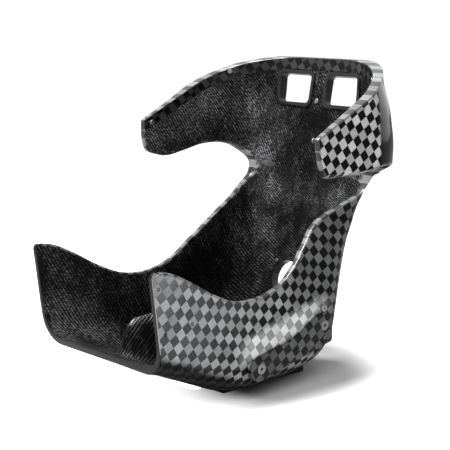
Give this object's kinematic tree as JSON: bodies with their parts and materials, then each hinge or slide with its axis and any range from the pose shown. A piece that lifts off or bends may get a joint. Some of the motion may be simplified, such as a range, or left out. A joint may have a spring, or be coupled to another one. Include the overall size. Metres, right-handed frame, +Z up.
{
  "type": "racing seat",
  "caption": "Bare carbon-fibre bucket seat shell with thigh bolsters, shoulder wings, belt windows and side mounting blocks.",
  "frame": {"origin": "on the ground plane, on the flat underside of the pad under the hips, on the centre line", "axes": "+Z up; the occupant faces -Y; +X is the occupant's left; the seat is symmetric about X = 0"},
  "size_m": [0.6178, 0.7383, 0.7308],
  "materials": {
    "spread_tow_carbon": "clear-coated spread-tow carbon in a 20 mm check",
    "spread_tow_band": "clear-coated spread-tow carbon strip",
    "twill_carbon": "2x2 twill carbon, satin from the bag side",
    "edge_laminate": "solid carbon laminate, trimmed and resin sealed",
    "frame_carbon": "moulded carbon, satin",
    "foam": "closed-cell structural foam, hidden inside",
    "foot_laminate": "flat moulded carbon pad, matte",
    "insert_metal": "turned and anodised clear",
    "screw_metal": "stainless steel"
  },
  "bodies": {
    "root": {"outer_skin": "spread_tow_carbon", "inner_skin": "twill_carbon", "top_band": "spread_tow_band", "rim_closeout": "edge_laminate", "front_edge_moulding": "edge_laminate", "pan_core": "foam", "back_core": "foam", "leg_divider": "twill_carbon", "vent_ring": "frame_carbon", "vent_clamp_ring": "frame_carbon", "vent_screws": "screw_metal", "crotch_belt_frame": "frame_carbon", "top_flange_inserts": "insert_metal", "centre_stud": "screw_metal", "foot_pad": "foot_laminate", "thigh_core_left": "foam", "thigh_core_right": "foam", "hip_core_left": "foam", "hip_core_right": "foam", "waist_core_left": "foam", "waist_core_right": "foam", "shoulder_core_left": "foam", "shoulder_core_right": "foam", "shoulder_belt_frame_left": "frame_carbon", "shoulder_belt_frame_right": "frame_carbon", "mount_block_left": "spread_tow_carbon", "mount_block_right": "spread_tow_carbon", "mount_insert_front_left": "insert_metal", "mount_insert_front_right": "insert_metal", "mount_insert_rear_left": "insert_metal", "mount_insert_rear_right": "insert_metal", "block_inserts_left": "insert_metal", "block_inserts_right": "insert_metal", "thigh_inserts_left": "insert_metal", "thigh_inserts_right": "insert_metal", "wing_inserts_left": "insert_metal", "wing_inserts_right": "insert_metal", "wing_stud_left": "screw_metal", "wing_stud_right": "screw_metal", "band_screw_left": "screw_metal", "band_screw_right": "screw_metal", "side_boss_left": "insert_metal", "side_boss_right": "insert_metal"}
  },
  "joints": []
}
